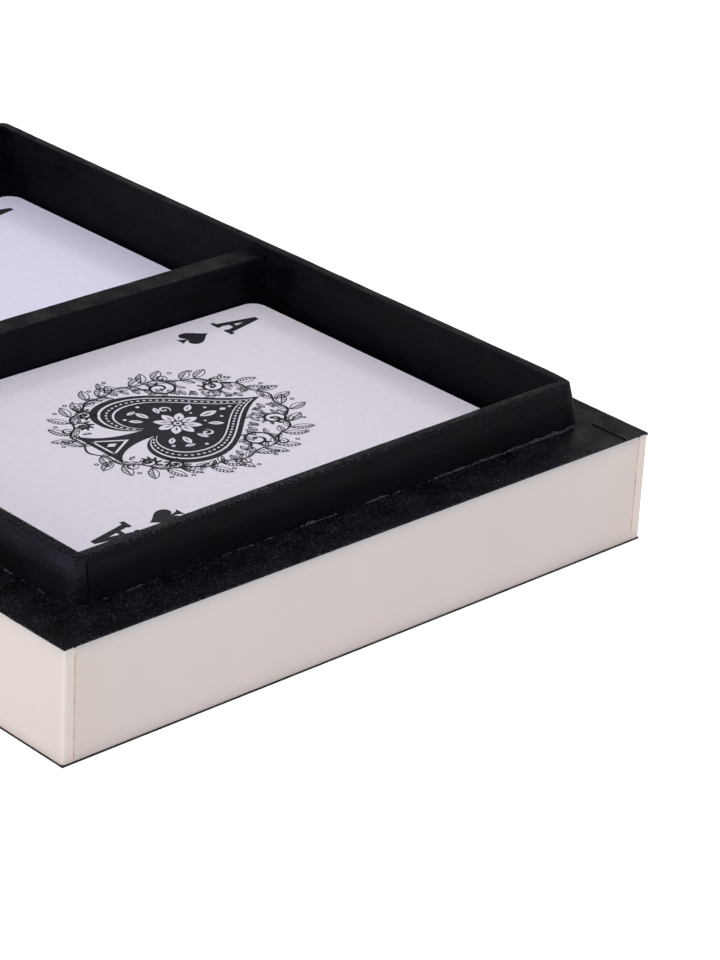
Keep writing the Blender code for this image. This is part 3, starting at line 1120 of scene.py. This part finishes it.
def add_lamps():
    """A small light from behind on the left and one overhead, and two wide ones in front.

    Each row has the lamp's name, the way to it, its distance, size, power and colour, and whether
    glossy surfaces show it.
    """
    for name, way, distance, size, power, colour, shines in (
        ("soft_box_back", (-0.679, 0.734, 0.843), 1.3, 0.24, 2.7, (1.0, 0.97, 0.91), False),
        ("soft_box_top", (-0.05, 0.35, 0.60), 0.6, 0.35, 0.46, (1.0, 1.0, 1.0), False),
        ("soft_box_right", (0.75, -0.45, 0.97), 2.4, 1.3, 33.5, (1.0, 0.99, 0.99), True),
        ("soft_box_front", (0.05, -0.95, 0.30), 1.8, 1.0, 9.2, (1.0, 0.98, 0.95), True),
    ):
        lamp = bpy.data.lights.new(name, "AREA")
        lamp.shape = "DISK"
        lamp.size = size
        lamp.energy = power
        lamp.color = colour
        holder = add_object(name, lamp)
        direction = Vector(way).normalized()
        holder.location = direction * distance
        holder.rotation_euler = direction.to_track_quat("Z", "Y").to_euler()
        holder.visible_glossy = shines


def add_camera():
    """The camera that was fitted to the photograph, with a plain view of the colours."""
    settings = bpy.data.cameras.new("camera")
    settings.lens = camera_lens
    settings.clip_start = 0.01
    camera = add_object("camera", settings)
    turn = (
        Matrix.Rotation(math.radians(camera_azimuth), 4, "Z")
        @ Matrix.Rotation(math.radians(90 - camera_elevation), 4, "X")
        @ Matrix.Rotation(math.radians(camera_roll), 4, "Z")
    )
    camera.matrix_world = Matrix.Translation(camera_place) @ turn
    bpy.context.scene.camera = camera
    bpy.context.scene.view_settings.view_transform = "Standard"


def dress():
    """Makes the materials, and gives each piece its finish."""
    # Each paint's first two colours are a blue-black whose blue is partly painted shade, the second a
    # little lighter as painted light on faces that look up
    # The fourth colour of each paint is its painted sheen on the upper outer faces, stronger on the
    # front and back walls than on the ends
    paint_x = black_paint("brushed_black_paint_x", X, "#03040a", "#04050a", "#423e47", "#171720", 0.75)
    paint_y = black_paint("brushed_black_paint_y", Y, "#03040a", "#04050a", "#423e47", "#0a0b11", 1.15)
    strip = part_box("cladding_right")
    # The fourth colour of each strip is the painted reflection along its top edge
    resin_long = bone_resin("polished_bone_resin_long", "#ddd1ca", "#ddd1ca", "#bfbdbd", *strip)
    resin_end = bone_resin("polished_bone_resin_end", "#d5cac5", "#d6c9bf", "#a7abb2", *strip)

    # Each plain finish: its name, two shades, pattern size, roughness, specular level and bump depth
    plain = {part: plain_noise_material(*look) for part, look in {
        # Wood filler under wiped black paint: a crumbly dark line with greyer lumps, partly the filler's
        # own grey and partly painted glints
        "filler": ("stained_filler_with_painted_glints", "#0c0c0e", "#484a50", 0.34 * MM, 0.65, 0.14, 0.1 * MM),
        # Bare dark wood down in an open joint: an almost black line with no shine
        "joint": ("dark_open_joint", "#070707", "#141313", 1.0 * MM, 0.95, 0.02, 0.05 * MM),
        # Wood glue pressed out of a joint and sanded: a thin light brown line, paler in places
        "glue": ("brown_wood_glue", "#ba9882", "#d9c5b7", 1.2 * MM, 0.5, 0.4, 0.05 * MM),
        # Pressed wool felt: a dull black, with its fibres drawn coarser, as too fine to show
        "felt": ("black_wool_felt", "#0c0c0d", "#1d1d1f", 0.5 * MM, 0.95, 0.1, 0.3 * MM),
        # Stained plywood: a flat brownish black with slow changes of shade
        "board": ("black_stained_board", "#0c0b0b", "#1a1817", 2.0 * MM, 0.8, 0.2, 0.05 * MM),
        # Paint that ran under the strips in a thin coat: black with greyer stretches
        "under": ("thin_black_paint", "#060607", "#2c2a2a", 5.0 * MM, 0.7, 0.2, 0.05 * MM),
        # Edges of cut card: pale grey and dull, with fibres drawn coarser, as too fine to show
        "edges": ("cut_paper_edges", "#cbc8cd", "#e4e1e3", 0.3 * MM, 0.85, 0.2, 0.02 * MM),
        # Coated playing cards: a smooth, faintly lilac white with a low gloss, bluer on the left.
        # The grain of the coating is drawn coarser, as too fine to show
        "left": ("coated_card_left", "#d6d0e4", "#dad4e8", 1.5 * MM, 0.55, 0.25, 0.004 * MM),
        "right": ("coated_card_right", "#d1cbd6", "#d5cfda", 1.5 * MM, 0.55, 0.25, 0.004 * MM),
        # Printing ink on coated card: a soft black with hardly any change of shade
        "ink": ("black_printing_ink", "#1f1d21", "#2b292e", 0.5 * MM, 0.7, 0.12, 0.002 * MM),
    }.items()}

    for side, along, paint in (
        ("front", X, paint_x), ("back", X, paint_x), ("left", Y, paint_y), ("right", Y, paint_y)
    ):
        add_worn_wall("liner_" + side, "lip_" + side, (along, Z), paint)
        nodes["frame_wall_" + side].data.materials[0] = paint
    add_worn_wall("divider", "divider_slat", (Y, Z, X), paint_y)
    add_ledge_film(paint_y)
    add_beads(plain["filler"])
    add_lap_lines(plain["joint"])
    add_glue_lines(plain["glue"])
    add_under_paint(plain["under"])
    for side in ("front", "back"):
        nodes["cladding_" + side].data.materials[0] = resin_long
    for side in ("left", "right"):
        nodes["cladding_" + side].data.materials[0] = resin_end
        add_deck(side, plain["edges"])
    picture = spade_picture(*big_spade)
    small_picture = [placed(motif, 0, 0, size=left_picture_size) for motif in picture]
    add_ace("right", picture + wreath(*wreath_half_size), plain["right"], plain["ink"])
    add_ace("left", small_picture, plain["left"], plain["ink"])
    for part in ("felt", "board"):
        nodes["base_" + part].data.materials[0] = plain[part]


dress()
add_floor()
add_world()
add_lamps()
add_camera()
